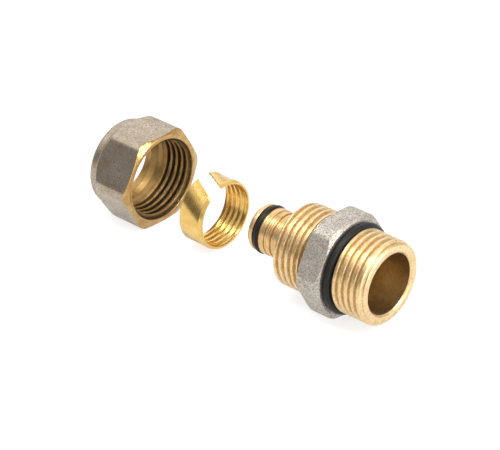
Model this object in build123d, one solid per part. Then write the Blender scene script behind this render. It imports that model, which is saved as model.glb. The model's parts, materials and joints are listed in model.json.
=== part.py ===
"""Screw-type compression coupling for a 16 mm pipe, with a G 1/2 male thread.

The nut, the split ring and the body lie apart in a row, in the order in which they go together.
The nut and the body lie on a flat, on one axis, and the lower ring lies on the same surface.
The X axis is the axis of the nut and the body and points out of the male thread. Z is up.
The origin is on the axis at the inner end of the male thread. All sizes are in millimetres.
"""

import os
from math import radians, tan

from build123d import *

# Pipe and threads
PIPE_R = 8.0
PIPE_WALL = 2.0
THREAD_R = 20.955 / 2
THREAD_CLEARANCE = 0.05

# Male end of the body
MALE_THREAD_LENGTH = 8.1
MALE_LEAD_LENGTH = 1.3
MALE_LEAD_DEPTH = 0.7
MALE_BORE_R = 7.65
MALE_BORE_DEPTH = 13.0
BORE_CONE_LENGTH = 2.4

# Seals, and the neck behind the male thread that holds the larger one
NECK_DEPTH = 1.23
NECK_SPARE = 0.1
THREAD_SEAL_SECTION_R = 0.89
SEAL_CLEARANCE = 0.02
SEAL_SIDES = 8

# Hexagon of the body
HEX_FLATS = 24.0
HEX_WIDTH = 6.3
HEX_CORNER_STAND = 1.1
HEX_EDGE_LENGTH = 0.35
HEX_EDGE_DEPTH = 0.7

# Nut thread of the body
RELIEF_LENGTH = 1.9
RELIEF_DEPTH = 1.25
NUT_THREAD_LENGTH = 7.3
RIM_LENGTH = 0.85
RIM_DEPTH = 0.8

# Spigot, which goes into the pipe
SPIGOT_CLEARANCE = 0.07
SPIGOT_LENGTH = 11.7
SPIGOT_BORE_R = 3.6
TIP_LENGTH = 0.7
TIP_DEPTH = 0.5
TIP_COLLAR_LENGTH = 1.6
SPIGOT_SEAL_SECTION_R = 0.89
SPIGOT_SEAL_STAND = 0.27
SPIGOT_GROOVE_SPARE = 0.2
HOLD_GROOVE_COUNT = 2
HOLD_GROOVE_PITCH = 1.9
HOLD_GROOVE_WIDTH = 1.4
HOLD_GROOVE_DEPTH = 0.3
HOLD_GROOVE_START = 1.6

# Split ring
RING_PIPE_CLEARANCE = 0.1
RING_WALL = 0.85
RING_LENGTH = 7.5
RING_CONE_DEPTH = 0.55
RING_BEVEL = 0.4
RING_GROOVE_COUNT = 4
RING_GROOVE_PITCH = 1.55
RING_GROOVE_WIDTH = 1.0
RING_GROOVE_DEPTH = 0.35
SPLIT_WIDTH = 3.9
SPLIT_SLANT_DEG = 27.0
SPLIT_TURN_DEG = 12.0

# Compression nut
NUT_WALL = 1.4725
NUT_CORNER_STAND = 1.3
NUT_FACE_STEP = 0.45
NUT_FACE_CONE_DEG = 20.0
NUT_HEX_LENGTH = 10.0
NUT_SHOULDER_LENGTH = 2.2
NUT_COLLAR_STEP = 0.7
NUT_COLLAR_LENGTH = 2.4
NUT_COLLAR_EDGE = 0.9
NUT_MOUTH_EDGE = 0.2
NUT_BORE_DEPTH = 9.0
NUT_SEAT_DEPTH = 1.8
NUT_SEAT_CONE_DEG = 47.5
NUT_RING_CLEARANCE = 0.55
NUT_PIPE_CLEARANCE = 0.3
NUT_HOLE_EDGE = 0.9

# How far apart the pieces lie, and how near they come when the nut is screwed on
RING_GAP = 13.4
NUT_GAP = 12.4
RING_ASIDE = 1.3
SEAT_CLEARANCE = 0.3

# Small overrun of a cutter past the face that it cuts
OVERRUN = 1.0

# Stations along the axis
neck_length = 2 * THREAD_SEAL_SECTION_R + NECK_SPARE
male_thread_end = MALE_THREAD_LENGTH
male_end = male_thread_end + MALE_LEAD_LENGTH
hex_front = -neck_length
hex_back = hex_front - HEX_WIDTH
thread_seal_station = hex_front + neck_length / 2
nut_thread_start = hex_back - RELIEF_LENGTH
nut_thread_end = nut_thread_start - NUT_THREAD_LENGTH
rim = nut_thread_end - RIM_LENGTH
spigot_tip = rim - SPIGOT_LENGTH
ring_right = spigot_tip - RING_GAP
ring_left = ring_right - RING_LENGTH
nut_front = ring_left - NUT_GAP
nut_back = nut_front - NUT_HEX_LENGTH - NUT_SHOULDER_LENGTH - NUT_COLLAR_LENGTH
seat_start = nut_front - NUT_BORE_DEPTH
seat_end = seat_start - NUT_SEAT_DEPTH
seal_groove_start = spigot_tip + TIP_COLLAR_LENGTH
spigot_seal_station = seal_groove_start + SPIGOT_SEAL_SECTION_R + SPIGOT_GROOVE_SPARE / 2

# Radii that follow from the threads and the mating pieces
neck_r = THREAD_R - NECK_DEPTH
spigot_r = PIPE_R - PIPE_WALL - SPIGOT_CLEARANCE
spigot_groove_r = spigot_r + SPIGOT_SEAL_STAND - 2 * SPIGOT_SEAL_SECTION_R - SEAL_CLEARANCE
ring_bore_r = PIPE_R + RING_PIPE_CLEARANCE
ring_outer_r = ring_bore_r + RING_WALL
nut_bore_r = THREAD_R + THREAD_CLEARANCE
nut_seat_r = ring_outer_r + NUT_RING_CLEARANCE
nut_hole_r = PIPE_R + NUT_PIPE_CLEARANCE
seat_slope = tan(radians(NUT_SEAT_CONE_DEG))
nut_flat_r = nut_bore_r + NUT_WALL
ring_drop = nut_flat_r - ring_outer_r


def turned(*profile):
    """Solid of revolution about the axis, from the corners (station, radius) of its half section."""
    return revolve(make_face(Polyline(*profile, close=True)), Axis.X, 360)


def o_ring(station, groove_r, section_r):
    """Seal round the axis in a groove of the given floor radius, its round section drawn with a few flats."""
    section = RegularPolygon(section_r, SEAL_SIDES, major_radius=False, rotation=180 / SEAL_SIDES - 90)
    return revolve(Pos(station, groove_r + SEAL_CLEARANCE + section_r) * section, Axis.X, 360)


def hexagon(station, flat_r, length):
    """Hexagonal bar with a flat at the bottom, from the given station back along the axis."""
    section = Plane.YZ.offset(station) * RegularPolygon(flat_r, 6, major_radius=False)
    return extrude(section, -length)


def spigot_edge():
    """Upper edge of the spigot's section, from its tip to its foot."""
    seal_groove_end = spigot_seal_station + SPIGOT_SEAL_SECTION_R + SPIGOT_GROOVE_SPARE / 2
    edge = [
        (spigot_tip, spigot_r - TIP_DEPTH),
        (spigot_tip + TIP_LENGTH, spigot_r),
        (seal_groove_start, spigot_r),
        (seal_groove_start, spigot_groove_r),
        (seal_groove_end, spigot_groove_r),
        (seal_groove_end, spigot_r),
    ]
    hold_r = spigot_r - HOLD_GROOVE_DEPTH
    for index in range(HOLD_GROOVE_COUNT):
        start = seal_groove_end + HOLD_GROOVE_START + index * HOLD_GROOVE_PITCH
        edge += [(start, spigot_r), (start, hold_r), (start + HOLD_GROOVE_WIDTH, spigot_r)]
    return edge + [(rim, spigot_r)]


def coupling_body():
    """One turned piece: spigot, nut thread, hexagon and male thread, with a stepped bore."""
    relief_r = THREAD_R - RELIEF_DEPTH
    outside = turned(
        (spigot_tip, 0),
        *spigot_edge(),
        (rim, THREAD_R - RIM_DEPTH),
        (nut_thread_end, THREAD_R),
        (nut_thread_start, THREAD_R),
        (nut_thread_start, relief_r),
        (hex_back, relief_r),
        (hex_back, neck_r),
        (0, neck_r),
        (0, THREAD_R),
        (male_thread_end, THREAD_R),
        (male_end, THREAD_R - MALE_LEAD_DEPTH),
        (male_end, 0),
    )
    corner_r = HEX_FLATS / 2 + HEX_CORNER_STAND
    turned_corners = turned(
        (hex_back, 0),
        (hex_back, corner_r - HEX_EDGE_DEPTH),
        (hex_back + HEX_EDGE_LENGTH, corner_r),
        (hex_front - HEX_EDGE_LENGTH, corner_r),
        (hex_front, corner_r - HEX_EDGE_DEPTH),
        (hex_front, 0),
    )
    male_bore_end = male_end - MALE_BORE_DEPTH
    bore = turned(
        (spigot_tip - OVERRUN, 0),
        (spigot_tip - OVERRUN, SPIGOT_BORE_R),
        (male_bore_end - BORE_CONE_LENGTH, SPIGOT_BORE_R),
        (male_bore_end, MALE_BORE_R),
        (male_end + OVERRUN, MALE_BORE_R),
        (male_end + OVERRUN, 0),
    )
    return outside + (hexagon(hex_front, HEX_FLATS / 2, HEX_WIDTH) & turned_corners) - bore


def split_ring():
    """Open ring with a cone for the nut, gripping grooves inside and a slanted split at the top."""
    cone_length = RING_CONE_DEPTH / seat_slope
    outside = turned(
        (ring_left, 0),
        (ring_left, ring_outer_r - RING_CONE_DEPTH),
        (ring_left + cone_length, ring_outer_r),
        (ring_right - RING_BEVEL, ring_outer_r),
        (ring_right, ring_outer_r - RING_BEVEL),
        (ring_right, 0),
    )
    middle = (ring_left + ring_right) / 2
    edge = [(ring_left - OVERRUN, 0), (ring_left - OVERRUN, ring_bore_r)]
    for index in range(RING_GROOVE_COUNT):
        station = middle + (index - (RING_GROOVE_COUNT - 1) / 2) * RING_GROOVE_PITCH
        edge += [
            (station - RING_GROOVE_WIDTH / 2, ring_bore_r),
            (station, ring_bore_r + RING_GROOVE_DEPTH),
            (station + RING_GROOVE_WIDTH / 2, ring_bore_r),
        ]
    edge += [(ring_right + OVERRUN, ring_bore_r), (ring_right + OVERRUN, 0)]
    reach = RING_LENGTH / 2 + OVERRUN
    lean = reach * tan(radians(SPLIT_SLANT_DEG))
    half_gap = SPLIT_WIDTH / 2
    gap = Polyline(
        (-reach, lean - half_gap),
        (reach, -lean - half_gap),
        (reach, -lean + half_gap),
        (-reach, lean + half_gap),
        close=True,
    )
    cutter = Pos(middle) * Rot(X=SPLIT_TURN_DEG) * extrude(make_face(gap), ring_outer_r + OVERRUN)
    return Pos(Y=RING_ASIDE, Z=-ring_drop) * (outside - turned(*edge) - cutter)


def compression_nut():
    """Hexagon nut with a turned face, a round collar and a stepped inside that squeezes the ring."""
    corner_r = nut_flat_r + NUT_CORNER_STAND
    face_r = nut_flat_r - NUT_FACE_STEP
    collar_r = nut_flat_r - NUT_COLLAR_STEP
    face_cone = (corner_r - face_r) * tan(radians(NUT_FACE_CONE_DEG))
    shoulder_start = nut_front - NUT_HEX_LENGTH
    collar_start = shoulder_start - NUT_SHOULDER_LENGTH
    envelope = turned(
        (nut_front, 0),
        (nut_front, face_r),
        (nut_front - face_cone, corner_r),
        (shoulder_start, corner_r),
        (collar_start, collar_r),
        (collar_start, 0),
    )
    collar = turned(
        (collar_start, 0),
        (collar_start, collar_r),
        (nut_back + NUT_COLLAR_EDGE, collar_r),
        (nut_back, collar_r - NUT_COLLAR_EDGE),
        (nut_back, 0),
    )
    inside = turned(
        (nut_front + OVERRUN, 0),
        (nut_front + OVERRUN, nut_bore_r + NUT_MOUTH_EDGE),
        (nut_front, nut_bore_r + NUT_MOUTH_EDGE),
        (nut_front - NUT_MOUTH_EDGE, nut_bore_r),
        (seat_start, nut_bore_r),
        (seat_start, nut_seat_r),
        (seat_end, nut_seat_r),
        (seat_end - (nut_seat_r - nut_hole_r) / seat_slope, nut_hole_r),
        (nut_back + NUT_HOLE_EDGE, nut_hole_r),
        (nut_back, nut_hole_r + NUT_HOLE_EDGE),
        (nut_back - OVERRUN, nut_hole_r + NUT_HOLE_EDGE),
        (nut_back - OVERRUN, 0),
    )
    hexagonal = hexagon(nut_front, nut_flat_r, nut_front - collar_start) & envelope
    return hexagonal + collar - inside


parts = {
    "coupling_body": coupling_body(),
    "thread_seal": o_ring(thread_seal_station, neck_r, THREAD_SEAL_SECTION_R),
    "spigot_seal": o_ring(spigot_seal_station, spigot_groove_r, SPIGOT_SEAL_SECTION_R),
    "split_ring": split_ring(),
    "compression_nut": compression_nut(),
}

os.makedirs("parts", exist_ok=True)
for name, solid in parts.items():
    export_step(solid, f"parts/{name}.step")

# How far the ring moves along the axis to the body's rim, and the nut to its seat on the ring
ring_travel = rim - SEAT_CLEARANCE - ring_right
ring_cone_depth = (nut_seat_r - ring_outer_r + RING_CONE_DEPTH) / seat_slope
ring_depth = nut_front - seat_end + ring_cone_depth - SEAT_CLEARANCE
nut_travel = ring_left + ring_travel + ring_depth - nut_front
print(f"ring travel {ring_travel:.4f} along, {-RING_ASIDE:.4f} across, {ring_drop:.4f} up")
print(f"nut travel {nut_travel:.4f} along, nut front at {nut_front:.4f}, male end at {male_end:.4f}")
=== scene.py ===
"""Looks of a screw-type pipe coupling laid out in a row: nut, split ring, and body with two seals.

The pieces are turned, milled and threaded as a workshop makes them, round the X axis of the frame.
Sizes of the object are in millimetres and become metres where a vertex is placed.
"""

import json
from math import acos, asin, atan2, cos, hypot, pi, radians, sin, tan

import bmesh
import bpy
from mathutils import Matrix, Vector


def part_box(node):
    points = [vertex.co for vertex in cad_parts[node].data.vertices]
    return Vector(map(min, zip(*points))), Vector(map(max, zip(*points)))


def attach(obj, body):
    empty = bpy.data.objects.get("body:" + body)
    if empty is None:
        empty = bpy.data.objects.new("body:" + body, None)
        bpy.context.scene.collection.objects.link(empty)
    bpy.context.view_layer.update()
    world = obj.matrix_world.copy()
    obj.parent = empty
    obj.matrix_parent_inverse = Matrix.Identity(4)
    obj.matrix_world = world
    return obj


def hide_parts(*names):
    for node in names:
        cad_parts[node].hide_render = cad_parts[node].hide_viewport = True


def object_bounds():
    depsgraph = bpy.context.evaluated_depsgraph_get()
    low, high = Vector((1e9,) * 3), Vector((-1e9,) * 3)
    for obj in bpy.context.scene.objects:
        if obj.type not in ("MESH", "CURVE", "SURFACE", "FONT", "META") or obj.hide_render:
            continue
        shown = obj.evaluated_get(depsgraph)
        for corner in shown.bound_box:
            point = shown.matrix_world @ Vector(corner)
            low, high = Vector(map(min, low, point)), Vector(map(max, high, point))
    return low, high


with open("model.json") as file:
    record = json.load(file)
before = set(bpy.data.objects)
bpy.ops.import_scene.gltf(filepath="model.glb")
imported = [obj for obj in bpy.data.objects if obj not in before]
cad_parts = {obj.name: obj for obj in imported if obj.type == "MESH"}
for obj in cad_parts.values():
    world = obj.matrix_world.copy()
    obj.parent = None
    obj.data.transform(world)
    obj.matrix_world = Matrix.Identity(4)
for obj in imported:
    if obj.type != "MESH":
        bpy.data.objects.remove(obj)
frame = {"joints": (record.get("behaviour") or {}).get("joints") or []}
cad_low, cad_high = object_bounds()

MM = 0.001

# Fineness of the meshes
COLUMNS = 144
THREAD_ROW = 0.08
SECTION_SIDES = 28
ROUND_STEPS = 6
MERGE = 0.004
CUT_MERGE = 0.05
SPAN_MATCH = 0.02
LONG_SPAN = 3 * THREAD_ROW
MILL_REACH = 1.0

# G 1/2 thread
PITCH = 1.814
THREAD_DIAMETER = 20.955
THREAD_R = THREAD_DIAMETER / 2
THREAD_DEPTH = 0.85
CREST_SHARE = 0.17
ROOT_SHARE = 0.08
THREAD_CLEARANCE = 0.1

# Male end of the body
MALE_THREAD_LENGTH = 8.1
MALE_LEAD_DEPTH = 1.4
MALE_BORE_R = 7.65
MALE_BORE_DEPTH = 13.0
BORE_CONE_LENGTH = 2.4
BORE_EDGE = 0.5

# Seals and the neck of the body
THREAD_SEAL_R = 0.89
SPIGOT_SEAL_R = 0.89
THREAD_SEAL_BULGE = 0.4
SEAL_GAP = 0.1
NECK_DEPTH = 1.23

# Hexagon and nut thread of the body
HEX_FLATS = 24.0
HEX_WIDTH = 6.3
HEX_CORNER_STAND = 1.1
HEX_EDGE_LENGTH = 0.35
HEX_EDGE_DEPTH = 0.7
HEX_FRONT_LENGTH = 0.75
HEX_FRONT_DEPTH = 1.2
RELIEF_LENGTH = 1.9
RELIEF_DEPTH = 1.25
NUT_THREAD_LENGTH = 7.3
RIM_LENGTH = 0.85
RIM_DEPTH = 0.8

# Spigot of the body
SPIGOT_R = 5.93
SPIGOT_BORE_R = 3.6
TIP_LENGTH = 0.7
TIP_DEPTH = 0.5
TIP_COLLAR_LENGTH = 1.6
SPIGOT_GROOVE_R = 4.4
SPIGOT_GROOVE_WIDTH = 1.98
HOLD_GROOVE_COUNT = 2
HOLD_GROOVE_PITCH = 1.9
HOLD_GROOVE_WIDTH = 1.4
HOLD_GROOVE_DEPTH = 0.3
HOLD_GROOVE_START = 1.6
RIDGE_PITCH = 0.74
RIDGE_DEPTH = 0.2
RIDGE_SWELL = 0.4
RIDGE_SWELL_RATE = 2.3

# Split ring
RING_R = 8.95
RING_BORE_R = 8.1
RING_CONE_DEPTH = 0.55
RING_BEVEL = 0.3
RING_BEVEL_LENGTH = 0.8
RING_GROOVE_COUNT = 4
RING_GROOVE_PITCH = 1.55
RING_GROOVE_WIDTH = 1.0
RING_GROOVE_DEPTH = 0.35
SPLIT_WIDTH = 3.9
SPLIT_SLANT = radians(27)
SPLIT_TURN = radians(102)
SPIN_SWEEP = radians(340)
PAST_SWEEP = 1.02

# Nut
NUT_FLATS = 24.0
NUT_CORNER_STAND = 1.3
NUT_FACE_STEP = 0.45
NUT_FACE_CONE = radians(20)
NUT_HEX_LENGTH = 10.0
NUT_SHOULDER_LENGTH = 2.2
NUT_COLLAR_STEP = 0.7
NUT_COLLAR_EDGE = 1.1
NUT_MOUTH_EDGE = 0.2
NUT_BORE_DEPTH = 9.0
NUT_SEAT_DEPTH = 1.8
NUT_SEAT_R = 9.5
NUT_HOLE_R = 8.3
NUT_HOLE_EDGE = 0.9
SEAT_CONE = radians(47.5)
THREAD_RUNOUT = 1.4
FACE_REACH = 2.0
FACE_TILT = 0.3
# Depth share of the nut thread at which its painted shade reaches a grey of 0.3
ROOT_SHADE_SHARE = 0.7

# Softened edges
EDGE_ROUND = 0.1
EDGE_SEGMENTS = 2
CORNER_ROUND = 0.4
CORNER_SEGMENTS = 3
LONG_EDGE = 3.0
SHARP = radians(14)
SMOOTH = radians(40)

# Places of the pieces, read from the frame
body_low, body_high = (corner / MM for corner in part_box("coupling_body"))
nut_low, nut_high = (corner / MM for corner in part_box("compression_nut"))
ring_low, ring_high = (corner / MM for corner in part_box("split_ring"))
male_end = body_high.x
spigot_tip = body_low.x
groove_start = spigot_tip + TIP_COLLAR_LENGTH
groove_end = groove_start + SPIGOT_GROOVE_WIDTH
hex_front = -2 * THREAD_SEAL_R - SEAL_GAP
hex_back = hex_front - HEX_WIDTH
nut_thread_start = hex_back - RELIEF_LENGTH
nut_thread_end = nut_thread_start - NUT_THREAD_LENGTH
rim = nut_thread_end - RIM_LENGTH
nut_front = nut_high.x
nut_back = nut_low.x
nut_root_r = THREAD_R + THREAD_CLEARANCE
ring_middle = (ring_low.x + ring_high.x) / 2
ring_axis = Vector((0, (ring_low.y + ring_high.y) / 2, ring_low.z + RING_R))
nut_slide = next(joint for joint in frame["joints"] if joint["name"] == "nut_slide")
nut_travel = nut_slide["range_m"][1] / MM


# Workshop operations

def place(station, radius, turn=0.0):
    """Point along the axis, out from it and round it, from +Y towards +Z."""
    return Vector((station, radius * cos(turn), radius * sin(turn))) * MM


def quarter_turn():
    """Angles along a quarter of a round edge."""
    return [pi / 2 * step / ROUND_STEPS for step in range(ROUND_STEPS + 1)]


def turned(name, section, sweep=2 * pi):
    """New piece: a closed half section of (station, radius) corners, spun round the axis."""
    bpy.ops.object.select_all(action="DESELECT")
    bpy.ops.mesh.primitive_plane_add(size=MM)
    piece = bpy.context.object
    piece.name = piece.data.name = name
    bpy.ops.object.mode_set(mode="EDIT")
    bpy.ops.mesh.select_mode(type="VERT")
    bpy.ops.mesh.select_all(action="SELECT")
    bpy.ops.mesh.merge(type="CENTER")
    corners = [place(*corner) for corner in section]
    bpy.ops.transform.translate(value=corners[0])
    for here, there in zip(corners, corners[1:] + corners[:1]):
        bpy.ops.mesh.extrude_region_move(TRANSFORM_OT_translate={"value": there - here})
    bpy.ops.mesh.select_all(action="SELECT")
    bpy.ops.mesh.remove_doubles(threshold=MERGE * MM)
    bpy.ops.mesh.spin(steps=COLUMNS, angle=sweep, center=(0, 0, 0), axis=(1, 0, 0))
    clean(MERGE)
    bpy.ops.object.mode_set(mode="OBJECT")
    return piece


def clean(distance):
    """Merges doubles and turns the faces outwards, in edit mode."""
    bpy.ops.mesh.select_all(action="SELECT")
    bpy.ops.mesh.remove_doubles(threshold=distance * MM)
    bpy.ops.mesh.normals_make_consistent(inside=False)


def select_edges(piece, wanted):
    """In edit mode, selects the edges whose two ends, as (station, radius, turn), are wanted."""
    bpy.ops.mesh.select_mode(type="EDGE")
    bpy.ops.mesh.select_all(action="DESELECT")
    mesh = bmesh.from_edit_mesh(piece.data)
    for edge in mesh.edges:
        edge.select_set(wanted(*(polar(vertex.co) for vertex in edge.verts)))
    bmesh.update_edit_mesh(piece.data)


def polar(point):
    """Station, radius and turn of a point, in millimetres and radians."""
    return point.x / MM, hypot(point.y, point.z) / MM, atan2(point.z, point.y)


def select_sharp(piece):
    """Opens the piece in edit mode with its sharp edges selected."""
    bpy.context.view_layer.objects.active = piece
    bpy.ops.object.mode_set(mode="EDIT")
    bpy.ops.mesh.select_mode(type="EDGE")
    bpy.ops.mesh.select_all(action="DESELECT")
    bpy.ops.mesh.edges_select_sharp(sharpness=SHARP)


def bevel_selected(width, segments):
    """Bevels the selected edges and leaves edit mode."""
    bpy.ops.mesh.bevel(offset=width * MM, segments=segments, affect="EDGES", clamp_overlap=True)
    bpy.ops.object.mode_set(mode="OBJECT")


def soften(piece, width):
    """Rounds every sharp edge by a small bevel."""
    select_sharp(piece)
    bevel_selected(width, EDGE_SEGMENTS)


def round_corners(piece, flat_r):
    """Rounds the long edges beside the flats of a hexagon, as plating and handling wear them."""
    select_sharp(piece)
    mesh = bmesh.from_edit_mesh(piece.data)
    sharp = [edge for edge in mesh.edges if edge.select]
    for edge in sharp:
        first, second = (polar(vertex.co) for vertex in edge.verts)
        long = abs(first[0] - second[0]) > LONG_EDGE and min(first[1], second[1]) > flat_r
        edge.select_set(long)
    bmesh.update_edit_mesh(piece.data)
    bevel_selected(CORNER_ROUND, CORNER_SEGMENTS)


def mill_hexagon(piece, start, end, flat_r, corner_r, cones):
    """Mills six flats between two stations, with the edges along the corners on whole columns.

    Each cone is a pair of (station, radius) corners, low and high.
    Its high corner slides down to the flat.
    """
    side = pi / 3
    column = 2 * pi / COLUMNS
    true_edge = acos(flat_r / corner_r)
    near_edge = round(true_edge / column) * column
    for vertex in piece.data.vertices:
        station, radius, turn = polar(vertex.co)
        if not end - MERGE <= station <= start + MERGE or radius < flat_r - MILL_REACH:
            continue
        centre = side * (round(turn / side - 0.5) + 0.5)
        off = abs(turn - centre)
        if off <= near_edge:
            off *= true_edge / near_edge
        else:
            off = side / 2 - (side / 2 - off) * (side / 2 - true_edge) / (side / 2 - near_edge)
        turn = centre + off * (1 if turn >= centre else -1)
        limit = flat_r / cos(off)
        if radius > limit:
            for (low_station, low_r), (high_station, high_r) in cones:
                if hypot(station - high_station, radius - high_r) < MERGE:
                    share = max(0, (limit - low_r) / (high_r - low_r))
                    station = low_station + share * (high_station - low_station)
            radius = limit
        vertex.co = place(station, radius, turn)


def thread_depth(turns):
    """Depth of the worn thread below its crest, at a number of pitches from a crest's middle."""
    along = abs((turns + 0.5) % 1 - 0.5)
    share = (along - CREST_SHARE) / (0.5 - ROOT_SHARE - CREST_SHARE)
    share = min(1, max(0, share))
    return THREAD_DEPTH * share**2 * (3 - 2 * share)


def divide_rows(piece, start, end, low_r, high_r):
    """Divides the long bands of faces between two stations into rows fine enough for a thread."""
    bpy.context.view_layer.objects.active = piece
    bpy.ops.object.mode_set(mode="EDIT")
    spans = set()

    def in_band(a, b):
        inside = all(end <= p[0] <= start and low_r <= p[1] <= high_r for p in (a, b))
        return inside and abs(a[0] - b[0]) > LONG_SPAN

    mesh = bmesh.from_edit_mesh(piece.data)
    for edge in mesh.edges:
        a, b = (polar(vertex.co) for vertex in edge.verts)
        if in_band(a, b):
            spans.add((round(min(a[0], b[0]), 2), round(max(a[0], b[0]), 2)))
    for low, high in sorted(spans):
        select_edges(piece, lambda a, b: in_band(a, b)
                     and abs(min(a[0], b[0]) - low) < SPAN_MATCH
                     and abs(max(a[0], b[0]) - high) < SPAN_MATCH)
        rows = round((high - low) / THREAD_ROW)
        bpy.ops.mesh.subdivide_edgering(number_cuts=rows, interpolation="LINEAR")
    bpy.ops.object.mode_set(mode="OBJECT")


def cut_form(piece, start, end, low_r, high_r, form):
    """Cuts the surface between two stations and radii to the radius that the form gives.

    The form is a function of the station, the turn and the radius before the cut.
    """
    divide_rows(piece, start, end, low_r, high_r)
    for vertex in piece.data.vertices:
        station, radius, turn = polar(vertex.co)
        if end <= station <= start and low_r <= radius <= high_r:
            vertex.co = place(station, form(station, turn, radius), turn)


def outer_thread(station, turn, radius):
    """Radius of the right-hand outer thread, under the blank's own radius."""
    return min(radius, THREAD_R - thread_depth(station / PITCH - turn / (2 * pi)))


def spigot_ridge(station, turn, radius):
    """Radius of the spigot under the uneven ridges that the turning tool leaves."""
    swell = 1 - RIDGE_SWELL * (1 - sin(RIDGE_SWELL_RATE * station))
    return radius - RIDGE_DEPTH * swell * (0.5 + 0.5 * sin(2 * pi * station / RIDGE_PITCH))


def finish_mesh(piece, body, node, finishes, choose=None):
    """Gives the faces their finishes, smooths the shading and lets the piece stand for its node.

    Where there are several finishes, choose picks one by the station, radius and normal of a face.
    """
    for material in finishes:
        piece.data.materials.append(material)
    if choose:
        for face in piece.data.polygons:
            station, radius, _ = polar(face.center)
            face.material_index = finishes.index(choose(station, radius, face.normal))
    bpy.ops.object.select_all(action="DESELECT")
    piece.select_set(True)
    bpy.context.view_layer.objects.active = piece
    bpy.ops.object.shade_smooth_by_angle(angle=SMOOTH)
    weighted = piece.modifiers.new("even_shading", "WEIGHTED_NORMAL")
    weighted.keep_sharp = True
    bpy.ops.object.modifier_apply(modifier=weighted.name)
    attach(piece, body)
    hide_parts(node)


# Finishes

class Finish:
    """A new material and short ways to add and link its nodes."""

    def __init__(self, name):
        self.material = bpy.data.materials.new(name)
        self.material.use_nodes = True
        self.tree = self.material.node_tree
        self.shader = self.tree.nodes["Principled BSDF"]
        self.coordinates = self.add("ShaderNodeTexCoord").outputs["Object"]

    def add(self, kind, **settings):
        """New node with its settings."""
        node = self.tree.nodes.new(kind)
        for key, value in settings.items():
            setattr(node, key, value)
        return node

    def link(self, source, target):
        """Joins an output to an input."""
        self.tree.links.new(source, target)

    def noise(self, size, detail, rough=0.5, vector=None):
        """Noise whose blotches are about size millimetres across."""
        node = self.add("ShaderNodeTexNoise")
        node.inputs["Scale"].default_value = 1 / (size * MM)
        node.inputs["Detail"].default_value = detail
        node.inputs["Roughness"].default_value = rough
        self.link(vector or self.coordinates, node.inputs["Vector"])
        return node.outputs["Fac"]

    def ramp(self, source, *stops):
        """Colours or greys by value, from (position, colour) stops."""
        node = self.add("ShaderNodeValToRGB")
        elements = node.color_ramp.elements
        while len(elements) < len(stops):
            elements.new(0.5)
        for element, (position, colour) in zip(elements, stops):
            channels = colour if isinstance(colour, tuple) else (colour, colour, colour)
            element.position = position
            element.color = (*channels, 1)
        self.link(source, node.inputs["Fac"])
        return node.outputs["Color"]

    def mix(self, share, first, second):
        """First colour with a share of the second."""
        node = self.add("ShaderNodeMix", data_type="RGBA")
        self.link(share, node.inputs["Factor"])
        node.inputs[6].default_value = (*first, 1)
        node.inputs[7].default_value = (*second, 1)
        return node.outputs[2]

    def times(self, first, second):
        """One colour multiplied by another."""
        node = self.add("ShaderNodeMix", data_type="RGBA", blend_type="MULTIPLY")
        node.inputs["Factor"].default_value = 1.0
        self.link(first, node.inputs[6])
        self.link(second, node.inputs[7])
        return node.outputs[2]

    def math(self, operation, *values):
        """Result of an operation on numbers and outputs."""
        node = self.add("ShaderNodeMath", operation=operation)
        for socket, value in zip(node.inputs, values):
            if isinstance(value, (int, float)):
                socket.default_value = value
            else:
                self.link(value, socket)
        return node.outputs["Value"]

    def bump(self, height, depth, strength, below=None):
        """Surface relief, depth millimetres high."""
        node = self.add("ShaderNodeBump")
        node.inputs["Distance"].default_value = depth * MM
        node.inputs["Strength"].default_value = strength
        self.link(height, node.inputs["Height"])
        if below:
            self.link(below, node.inputs["Normal"])
        return node.outputs["Normal"]

    def lathe_place(self, axis):
        """A vector of the station and radius of a surface point, in metres, and the radius alone."""
        moved = self.add("ShaderNodeVectorMath", operation="SUBTRACT")
        self.link(self.coordinates, moved.inputs[0])
        moved.inputs[1].default_value = axis * MM
        split = self.add("ShaderNodeSeparateXYZ")
        self.link(moved.outputs["Vector"], split.inputs["Vector"])
        square = self.math("ADD", self.math("MULTIPLY", split.outputs["Y"], split.outputs["Y"]),
                           self.math("MULTIPLY", split.outputs["Z"], split.outputs["Z"]))
        radius = self.math("SQRT", square)
        joined = self.add("ShaderNodeCombineXYZ")
        self.link(split.outputs["X"], joined.inputs["X"])
        self.link(radius, joined.inputs["Y"])
        return joined.outputs["Vector"], radius

    def lathe_marks(self, size, axis):
        """Noise that runs round the axis, as a turning tool leaves it."""
        along, _ = self.lathe_place(axis)
        return self.noise(size, detail=3.0, rough=0.65, vector=along)

    def at_radius(self, *stops):
        """Grey by the distance from the frame's axis, from (radius in millimetres, grey) stops."""
        _, radius = self.lathe_place(Vector())
        low, high = stops[0][0], stops[-1][0]
        share = self.math("DIVIDE", self.math("SUBTRACT", radius, low * MM), (high - low) * MM)
        return self.ramp(share, *(((stop - low) / (high - low), grey) for stop, grey in stops))

    def set(self, **sockets):
        """Sets or links the shader's sockets, with _ for a space in their names."""
        for name, value in sockets.items():
            socket = self.shader.inputs[name.replace("_", " ")]
            if isinstance(value, (int, float)):
                socket.default_value = value
            else:
                self.link(value, socket)
        return self.material


def blasted_plate(name, light, dark, roughness, size, pits, contrast):
    """Matt nickel plate on a shot-blasted forging, with warm blotches.

    The size of its grain and the depth of its pits are in millimetres.
    """
    finish = Finish(name)
    grain = finish.noise(size, detail=3.0, rough=0.6)
    blotches = finish.noise(size=3.0, detail=4.0, rough=0.6)
    tone = finish.mix(finish.ramp(blotches, (0.3, 0.0), (0.7, 1.0)), light, dark)
    middle = 0.88
    speckle = finish.ramp(grain, (0.34, middle - contrast), (0.5, middle), (0.66, middle + contrast))
    relief = finish.bump(grain, pits, strength=0.6)
    low, high = roughness
    rough = finish.ramp(grain, (0.35, high), (0.7, low))
    tone = finish.times(tone, speckle)
    return finish.set(Base_Color=tone, Metallic=1.0, Roughness=rough, Normal=relief)


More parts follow.
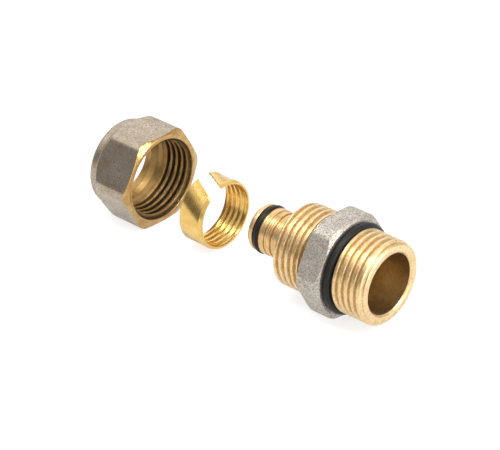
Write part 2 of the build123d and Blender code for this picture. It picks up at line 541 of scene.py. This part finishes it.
def turned_brass(name, light, dark, roughness, axis=Vector(), painted_shade=(),
                 mark=0.12, cut=0.012, mottle=0.12):
    """Bare turned brass: fine lathe marks, worn patches, a slow change of tone and, where given,
    painted shade by radius.
    """
    finish = Finish(name)
    patches = finish.noise(size=2.2, detail=4.0, rough=0.65)
    tone = finish.mix(finish.ramp(patches, (0.35, 0.0), (0.65, 1.0)), light, dark)
    # Painted shade: the tone is darkened by the distance from the axis, as the stops give
    if painted_shade:
        tone = finish.times(tone, finish.at_radius(*painted_shade))
    lines = finish.lathe_marks(mark, axis)
    wear = finish.noise(size=0.55, detail=3.0, rough=0.6)
    middle = 0.96
    tone = finish.times(tone, finish.ramp(wear, (0.38, middle - mottle), (0.62, middle + mottle)))
    grooves = finish.bump(lines, cut, strength=0.5)
    relief = finish.bump(wear, depth=0.03, strength=0.5, below=grooves)
    low, high = roughness
    rough = finish.ramp(lines, (0.3, low), (0.75, high))
    return finish.set(Base_Color=tone, Metallic=1.0, Roughness=rough, Normal=relief)


def seal_rubber():
    """Black moulded rubber with a dull sheen."""
    finish = Finish("seal_rubber")
    dust = finish.noise(size=0.5, detail=3.0)
    tone = finish.ramp(dust, (0.35, (0.007, 0.007, 0.006)), (0.75, (0.016, 0.015, 0.013)))
    relief = finish.bump(dust, depth=0.01, strength=0.5)
    rough = finish.ramp(dust, (0.3, 0.3), (0.7, 0.46))
    return finish.set(Base_Color=tone, Roughness=rough, Specular_IOR_Level=0.22, Normal=relief)


hex_plate = blasted_plate("hex_plate", (0.52, 0.475, 0.42), (0.44, 0.395, 0.335), (0.44, 0.62),
                          size=0.34, pits=0.07, contrast=0.4)
nut_plate = blasted_plate("nut_plate", (0.455, 0.388, 0.308), (0.348, 0.277, 0.20), (0.28, 0.44),
                          size=0.22, pits=0.028, contrast=0.46)
rubber = seal_rubber()
body_brass = turned_brass("body_brass", (0.75, 0.565, 0.32), (0.65, 0.47, 0.24), (0.30, 0.47),
                          mottle=0.16)
spigot_brass = turned_brass("spigot_brass", (0.74, 0.52, 0.27), (0.58, 0.38, 0.16), (0.26, 0.46),
                            mark=0.45, cut=0.16)
# Painted shade: a darker copy of the body's brass for the inside of the bores
shaded_bore_brass = turned_brass("shaded_bore_brass", (0.54, 0.39, 0.20), (0.46, 0.32, 0.145), (0.34, 0.52))
ring_brass = turned_brass("ring_brass", (0.76, 0.52, 0.18), (0.64, 0.41, 0.12), (0.16, 0.34),
                          axis=ring_axis, mottle=0.04)
# Painted shade inside the nut: thread roots nearly black, the seat and the hole darker
nut_painted_shade = [
    (NUT_HOLE_R, 0.85),
    (NUT_SEAT_R - EDGE_ROUND, 0.7),
    (nut_root_r - THREAD_DEPTH, 1.0),
    (nut_root_r - ROOT_SHADE_SHARE * THREAD_DEPTH, 0.3),
    (nut_root_r, 0.06),
    (nut_root_r + NUT_MOUTH_EDGE, 1.0),
]
nut_brass = turned_brass("nut_brass", (0.52, 0.335, 0.135), (0.40, 0.24, 0.08), (0.38, 0.56),
                         painted_shade=nut_painted_shade)
face_brass = turned_brass("face_brass", (0.52, 0.335, 0.14), (0.36, 0.215, 0.075), (0.20, 0.36))


# Body

def spigot_edge():
    """Upper edge of the spigot's section, from its tip to its foot."""
    edge = [
        (spigot_tip, SPIGOT_R - TIP_DEPTH),
        (spigot_tip + TIP_LENGTH, SPIGOT_R),
        (groove_start, SPIGOT_R),
        (groove_start, SPIGOT_GROOVE_R),
        (groove_end, SPIGOT_GROOVE_R),
        (groove_end, SPIGOT_R),
    ]
    for index in range(HOLD_GROOVE_COUNT):
        start = groove_end + HOLD_GROOVE_START + index * HOLD_GROOVE_PITCH
        edge += [
            (start, SPIGOT_R),
            (start, SPIGOT_R - HOLD_GROOVE_DEPTH),
            (start + HOLD_GROOVE_WIDTH, SPIGOT_R),
        ]
    return edge + [(rim, SPIGOT_R)]


def coupling_body():
    """Spigot, nut thread, hexagon and male thread on one turned piece with a stepped bore."""
    relief_r = THREAD_R - RELIEF_DEPTH
    neck_r = THREAD_R - NECK_DEPTH
    flat_r = HEX_FLATS / 2
    corner_r = flat_r + HEX_CORNER_STAND
    bore_end = male_end - MALE_BORE_DEPTH
    lead_length = male_end - MALE_THREAD_LENGTH
    rounded_end = [
        (MALE_THREAD_LENGTH + lead_length * sin(bend), THREAD_R - MALE_LEAD_DEPTH * (1 - cos(bend)))
        for bend in quarter_turn()
    ]
    back_cone = [(hex_back, corner_r - HEX_EDGE_DEPTH), (hex_back + HEX_EDGE_LENGTH, corner_r)]
    front_cone = [(hex_front, corner_r - HEX_FRONT_DEPTH), (hex_front - HEX_FRONT_LENGTH, corner_r)]
    piece = turned("turned_body", [
        (spigot_tip, SPIGOT_BORE_R),
        *spigot_edge(),
        (rim, THREAD_R - RIM_DEPTH),
        (nut_thread_end, THREAD_R),
        (nut_thread_start, THREAD_R),
        (nut_thread_start, relief_r),
        (hex_back, relief_r),
        *back_cone,
        *reversed(front_cone),
        (hex_front, neck_r),
        (0, neck_r),
        (0, THREAD_R),
        *rounded_end,
        (male_end, MALE_BORE_R + BORE_EDGE),
        (male_end - BORE_EDGE, MALE_BORE_R),
        (bore_end, MALE_BORE_R),
        (bore_end - BORE_CONE_LENGTH, SPIGOT_BORE_R),
    ])
    mill_hexagon(piece, hex_front, hex_back, flat_r, corner_r, [back_cone, front_cone])
    bpy.ops.object.mode_set(mode="EDIT")
    clean(CUT_MERGE)
    bpy.ops.object.mode_set(mode="OBJECT")
    round_corners(piece, flat_r)
    soften(piece, EDGE_ROUND)
    spare = EDGE_ROUND / 2
    low_r, high_r = THREAD_R - THREAD_DEPTH - spare, THREAD_R + spare
    cut_form(piece, male_end, -spare, low_r, high_r, outer_thread)
    cut_form(piece, nut_thread_start + spare, rim - spare, low_r, high_r, outer_thread)
    land = groove_end + spare / 2
    low_r, high_r = SPIGOT_R - HOLD_GROOVE_DEPTH - spare, SPIGOT_R + spare
    cut_form(piece, rim - spare, land, low_r, high_r, spigot_ridge)

    def choose(station, radius, normal):
        if hex_back - spare < station < hex_front + spare and radius > relief_r + spare:
            return hex_plate
        inside = radius < MALE_BORE_R + spare and station > bore_end - BORE_CONE_LENGTH
        if inside or radius < SPIGOT_BORE_R + spare:
            return shaded_bore_brass
        return spigot_brass if station < rim - spare else body_brass

    finishes = [body_brass, hex_plate, shaded_bore_brass, spigot_brass]
    finish_mesh(piece, "coupling", "coupling_body", finishes, choose)


def seal(name, node, section_r, bulge=0.0):
    """Rubber ring, spun from a circle at its node's middle that may bulge outwards where squeezed."""
    low, high = (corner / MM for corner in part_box(node))
    middle = (low.x + high.x) / 2
    ring_r = (high.y - low.y) / 2 - section_r
    steps = [2 * pi * index / SECTION_SIDES for index in range(SECTION_SIDES)]
    section = [
        (middle + section_r * cos(step), ring_r + section_r * sin(step) + bulge * (1 + sin(step)) / 2)
        for step in steps
    ]
    piece = turned(name, section)
    finish_mesh(piece, "coupling", node, [rubber])


# Split ring

def split_ring():
    """Ring with an outer cone, gripping grooves inside and a slanted gap near the top."""
    left, right = ring_low.x, ring_high.x
    section = [
        (left, RING_R - RING_CONE_DEPTH),
        (left + RING_CONE_DEPTH / tan(SEAT_CONE), RING_R),
        (right - RING_BEVEL_LENGTH, RING_R),
        (right, RING_R - RING_BEVEL),
        (right, RING_BORE_R),
    ]
    for index in reversed(range(RING_GROOVE_COUNT)):
        station = ring_middle + (index - (RING_GROOVE_COUNT - 1) / 2) * RING_GROOVE_PITCH
        section += [
            (station + RING_GROOVE_WIDTH / 2, RING_BORE_R),
            (station, RING_BORE_R + RING_GROOVE_DEPTH),
            (station - RING_GROOVE_WIDTH / 2, RING_BORE_R),
        ]
    section += [(left, RING_BORE_R)]
    piece = turned("split_ring_visual", section, SPIN_SWEEP)
    for vertex in piece.data.vertices:
        station, radius, turn = polar(vertex.co)
        share = -turn % (2 * pi) / SPIN_SWEEP
        if share > PAST_SWEEP:
            share = 0.0
        slant = (station - ring_middle) * tan(SPLIT_SLANT)
        first = asin((SPLIT_WIDTH / 2 + slant) / radius)
        last = 2 * pi - asin((SPLIT_WIDTH / 2 - slant) / radius)
        turn = SPLIT_TURN + first + share * (last - first)
        vertex.co = place(station, radius, turn) + ring_axis * MM
    bpy.ops.object.mode_set(mode="EDIT")
    bpy.ops.mesh.select_mode(type="EDGE")
    bpy.ops.mesh.select_all(action="DESELECT")
    bpy.ops.mesh.select_non_manifold()
    bpy.ops.mesh.fill_holes(sides=0)
    clean(MERGE)
    bpy.ops.object.mode_set(mode="OBJECT")
    soften(piece, EDGE_ROUND / 2)
    finish_mesh(piece, "ring", "split_ring", [ring_brass])


# Nut

def compression_nut():
    """Hexagon nut with a round collar, a threaded mouth and a seat for the split ring."""
    flat_r = NUT_FLATS / 2
    corner_r = flat_r + NUT_CORNER_STAND
    face_r = flat_r - NUT_FACE_STEP
    collar_r = flat_r - NUT_COLLAR_STEP
    mouth_r = nut_root_r + NUT_MOUTH_EDGE
    shoulder = nut_front - NUT_HEX_LENGTH
    collar = shoulder - NUT_SHOULDER_LENGTH
    seat_start = nut_front - NUT_BORE_DEPTH
    seat_end = seat_start - NUT_SEAT_DEPTH
    face_cone_length = (corner_r - face_r) * tan(NUT_FACE_CONE)
    face_cone = [(nut_front, face_r), (nut_front - face_cone_length, corner_r)]
    back_cone = [(collar, collar_r), (shoulder, corner_r)]
    rounded_back = [
        (nut_back + NUT_COLLAR_EDGE * (1 - sin(bend)), collar_r - NUT_COLLAR_EDGE * (1 - cos(bend)))
        for bend in quarter_turn()
    ]
    piece = turned("hexagon_nut", [
        *face_cone,
        *reversed(back_cone),
        *rounded_back,
        (nut_back, NUT_HOLE_R + NUT_HOLE_EDGE),
        (nut_back + NUT_HOLE_EDGE, NUT_HOLE_R),
        (seat_end - (NUT_SEAT_R - NUT_HOLE_R) / tan(SEAT_CONE), NUT_HOLE_R),
        (seat_end, NUT_SEAT_R),
        (seat_start, NUT_SEAT_R),
        (seat_start, nut_root_r),
        (nut_front - NUT_MOUTH_EDGE, nut_root_r),
        (nut_front, mouth_r),
    ])
    mill_hexagon(piece, nut_front, collar, flat_r, corner_r, [face_cone, back_cone])
    round_corners(piece, flat_r)
    soften(piece, EDGE_ROUND)

    def inner_thread(station, turn, radius):
        """Radius of the nut's thread, which fits the body's once the nut has come all the way."""
        form = nut_root_r - thread_depth((station + nut_travel) / PITCH - turn / (2 * pi))
        run_out = min(1, max(0, (seat_start + THREAD_RUNOUT - station) / THREAD_RUNOUT))
        form += (NUT_SEAT_R - form) * run_out
        return max(form, mouth_r - (nut_front - station))

    spare = EDGE_ROUND / 2
    cut_form(piece, nut_front - EDGE_ROUND, seat_start, NUT_SEAT_R + spare, mouth_r, inner_thread)

    def choose(station, radius, normal):
        on_face = normal.x > FACE_TILT and station > nut_front - FACE_REACH
        if on_face:
            return face_brass if radius > mouth_r - spare else nut_brass
        outside = radius > collar_r - NUT_COLLAR_EDGE or station < nut_back + spare
        plated = outside and radius > NUT_HOLE_R + spare and normal.x < FACE_TILT
        return nut_plate if plated else nut_brass

    finishes = [nut_brass, nut_plate, face_brass]
    finish_mesh(piece, "nut", "compression_nut", finishes, choose)


coupling_body()
seal("port_seal", "thread_seal", THREAD_SEAL_R, THREAD_SEAL_BULGE)
seal("pipe_seal", "spigot_seal", SPIGOT_SEAL_R)
split_ring()
compression_nut()


# Floor, light and camera, in metres apart from the camera's place

FLOOR_SIZE = 6.0
FLOOR_GREY = 0.35
FLOOR_GLOW = 0.75
LOW_SKY, LOW_SKY_COLOUR = 0.05, (0.5, 0.49, 0.48, 1)
HIGH_SKY, HIGH_SKY_COLOUR = 0.42, (0.95, 0.95, 0.95, 1)
DARK_SIDE = (-0.58, -0.75, 0.32)
DARK_START, DARK_END, DARK_LEVEL = 0.93, 0.985, 0.24
BRIGHT_SIDE = (-0.58, 0.64, 0.51)
BRIGHT_START, BRIGHT_END, BRIGHT_LEVEL = 0.6, 0.95, 1.75
ROW_MIDDLE = (-0.03, 0, 0)
NUT_EDGE = (-0.063, 0, 0.008)
CAMERA_PLACE = Vector((307.0, -376.4, 301.7))
CAMERA_AZIMUTH = radians(42.188)
CAMERA_ELEVATION = radians(30.826)
FOCAL_PIXELS = 2463
IMAGE_WIDTH = 500
SENSOR_WIDTH = 36
CLIP_START, CLIP_END = 0.01, 20


def floor():
    """Plain pale floor, white in the picture and in the metal, with the pieces' soft shadow kept."""
    bpy.ops.object.select_all(action="DESELECT")
    bpy.ops.mesh.primitive_plane_add(size=FLOOR_SIZE, location=(0, 0, cad_low.z))
    ground = bpy.context.object
    ground.name = "studio_floor"
    material = bpy.data.materials.new("floor_white")
    material.use_nodes = True
    nodes, links = material.node_tree.nodes, material.node_tree.links
    shader = nodes["Principled BSDF"]
    shader.inputs["Base Color"].default_value = (FLOOR_GREY, FLOOR_GREY, FLOOR_GREY, 1)
    shader.inputs["Roughness"].default_value = 1.0
    shader.inputs["Specular IOR Level"].default_value = 0.0
    path = nodes.new("ShaderNodeLightPath")
    seen = path.outputs["Is Camera Ray"]
    for ray in ("Is Glossy Ray", "Is Transmission Ray"):
        either = nodes.new("ShaderNodeMath")
        either.operation = "MAXIMUM"
        links.new(seen, either.inputs[0])
        links.new(path.outputs[ray], either.inputs[1])
        seen = either.outputs["Value"]
    glow = nodes.new("ShaderNodeMath")
    glow.operation = "MULTIPLY"
    glow.inputs[1].default_value = FLOOR_GLOW
    links.new(seen, glow.inputs[0])
    shader.inputs["Emission Color"].default_value = (1, 1, 1, 1)
    links.new(glow.outputs["Value"], shader.inputs["Emission Strength"])
    ground.data.materials.append(material)


def softbox(name, stand, aim, size, watts):
    """Rectangular studio light on its stand, turned to a point, in metres."""
    lamp = bpy.data.lights.new(name, "AREA")
    lamp.shape = "RECTANGLE"
    lamp.size, lamp.size_y = size
    lamp.energy = watts
    holder = bpy.data.objects.new(name, lamp)
    bpy.context.scene.collection.objects.link(holder)
    holder.location = stand
    holder.rotation_euler = (Vector(aim) - Vector(stand)).to_track_quat("-Z", "Y").to_euler()


def studio_world():
    """Studio room: grey near the horizon, pale overhead, with a dark side and a bright side."""
    world = bpy.data.worlds.new("studio_room")
    bpy.context.scene.world = world
    world.use_nodes = True
    nodes, links = world.node_tree.nodes, world.node_tree.links
    direction = nodes.new("ShaderNodeTexCoord").outputs["Generated"]
    split = nodes.new("ShaderNodeSeparateXYZ")
    links.new(direction, split.inputs["Vector"])
    ramp = nodes.new("ShaderNodeValToRGB")
    elements = ramp.color_ramp.elements
    elements[0].position, elements[0].color = LOW_SKY, LOW_SKY_COLOUR
    elements[1].position, elements[1].color = HIGH_SKY, HIGH_SKY_COLOUR
    links.new(split.outputs["Z"], ramp.inputs["Fac"])
    links.new(ramp.outputs["Color"], nodes["Background"].inputs["Color"])
    both = nodes.new("ShaderNodeMath")
    both.operation = "MULTIPLY"
    links.new(both.outputs["Value"], nodes["Background"].inputs["Strength"])
    sides = [
        (DARK_SIDE, DARK_START, DARK_END, DARK_LEVEL),
        (BRIGHT_SIDE, BRIGHT_START, BRIGHT_END, BRIGHT_LEVEL),
    ]
    for factor, (side, start, end, level) in zip(both.inputs, sides):
        towards = nodes.new("ShaderNodeVectorMath")
        towards.operation = "DOT_PRODUCT"
        towards.inputs[1].default_value = side
        links.new(direction, towards.inputs[0])
        shade = nodes.new("ShaderNodeMapRange")
        shade.inputs["From Min"].default_value = start
        shade.inputs["From Max"].default_value = end
        shade.inputs["To Min"].default_value = 1.0
        shade.inputs["To Max"].default_value = level
        links.new(towards.outputs["Value"], shade.inputs["Value"])
        links.new(shade.outputs["Result"], factor)


def camera():
    """Camera at the photograph's place and angle."""
    data = bpy.data.cameras.new("view_camera")
    data.sensor_width = SENSOR_WIDTH
    data.lens = SENSOR_WIDTH * FOCAL_PIXELS / IMAGE_WIDTH
    data.clip_start, data.clip_end = CLIP_START, CLIP_END
    holder = bpy.data.objects.new("view_camera", data)
    bpy.context.scene.collection.objects.link(holder)
    holder.location = CAMERA_PLACE * MM
    holder.rotation_euler = (pi / 2 - CAMERA_ELEVATION, 0, CAMERA_AZIMUTH)
    bpy.context.scene.camera = holder


floor()
studio_world()
softbox("overhead", stand=(0.0, -0.14, 0.55), aim=ROW_MIDDLE, size=(0.8, 0.16), watts=2.5)
softbox("key", stand=(0.42, 0.0, 0.38), aim=ROW_MIDDLE, size=(0.26, 0.2), watts=1.2)
softbox("side_card", stand=(0.60, 0.0, 0.09), aim=ROW_MIDDLE, size=(0.6, 0.2), watts=1.1)
softbox("edge_card", stand=(0.52, 0.19, 0.02), aim=NUT_EDGE, size=(0.14, 0.07), watts=0.7)
camera()
bpy.context.scene.view_settings.view_transform = "Standard"
